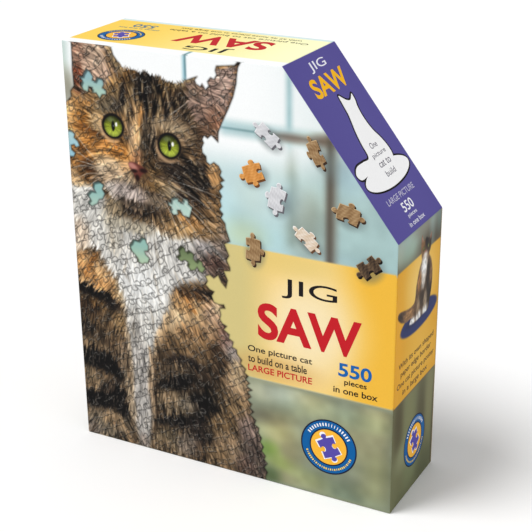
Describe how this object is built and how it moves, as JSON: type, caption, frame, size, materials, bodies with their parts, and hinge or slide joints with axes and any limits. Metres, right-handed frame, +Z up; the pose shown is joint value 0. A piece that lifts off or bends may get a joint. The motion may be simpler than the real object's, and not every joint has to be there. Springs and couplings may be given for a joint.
{
  "type": "boxed jigsaw puzzle",
  "caption": "Upright five-sided rigid box with one cut corner: a full-depth printed lid over a tray that holds a sealed bag of die-cut picture pieces and a folded leaflet.",
  "frame": {"origin": "on the floor under the middle of the closed box (bounding box bottom centre)", "axes": "+Z up the box, +X to the right as the picture is looked at, the picture faces -Y; the cut corner is at +X and +Z"},
  "size_m": [0.251, 0.078, 0.305],
  "materials": {
    "lid_print": "photo print under a satin aqueous varnish, yellow band, blurred teal and green background, cat picture",
    "tray_print": "photo print under a satin varnish",
    "greyboard": "bare recycled greyboard, matt, flecked",
    "kraft_tape": "brown gummed kraft paper",
    "clear_film": "clear polypropylene film, glossy, creased",
    "printed_pieces": "printed and varnished on the face, blue-grey board on the back and the cut edge",
    "leaflet_paper": "printed uncoated paper"
  },
  "bodies": {
    "lid": {"lid_face_board": "greyboard", "lid_wall_bottom": "greyboard", "lid_wall_right": "greyboard", "lid_wall_cut_corner": "greyboard", "lid_wall_top": "greyboard", "lid_wall_left": "greyboard", "lid_corner_tapes": "kraft_tape", "lid_printed_wrap": "lid_print"},
    "tray": {"tray_back_board": "greyboard", "tray_wall_bottom": "greyboard", "tray_wall_right": "greyboard", "tray_wall_cut_corner": "greyboard", "tray_wall_top": "greyboard", "tray_wall_left": "greyboard", "tray_corner_tapes": "kraft_tape", "tray_printed_wrap": "tray_print"},
    "bag": {"piece_bag": "clear_film", "loose_pieces": "printed_pieces"},
    "leaflet": {"picture_leaflet": "leaflet_paper"}
  },
  "joints": [
    {"name": "tray_out", "type": "slide", "parent": "lid", "child": "tray", "axis": [0, 1, 0], "range_m": [0, 0.3]},
    {"name": "bag_out", "type": "slide", "parent": "tray", "child": "bag", "axis": [0, -1, 0], "range_m": [0, 0.12]},
    {"name": "leaflet_out", "type": "slide", "parent": "tray", "child": "leaflet", "axis": [0, -1, 0], "range_m": [0, 0.18]}
  ],
  "couplings": [
    {"joint": "bag_out", "follows": "tray_out", "ratio": 0.4},
    {"joint": "leaflet_out", "follows": "tray_out", "ratio": 0.6}
  ]
}
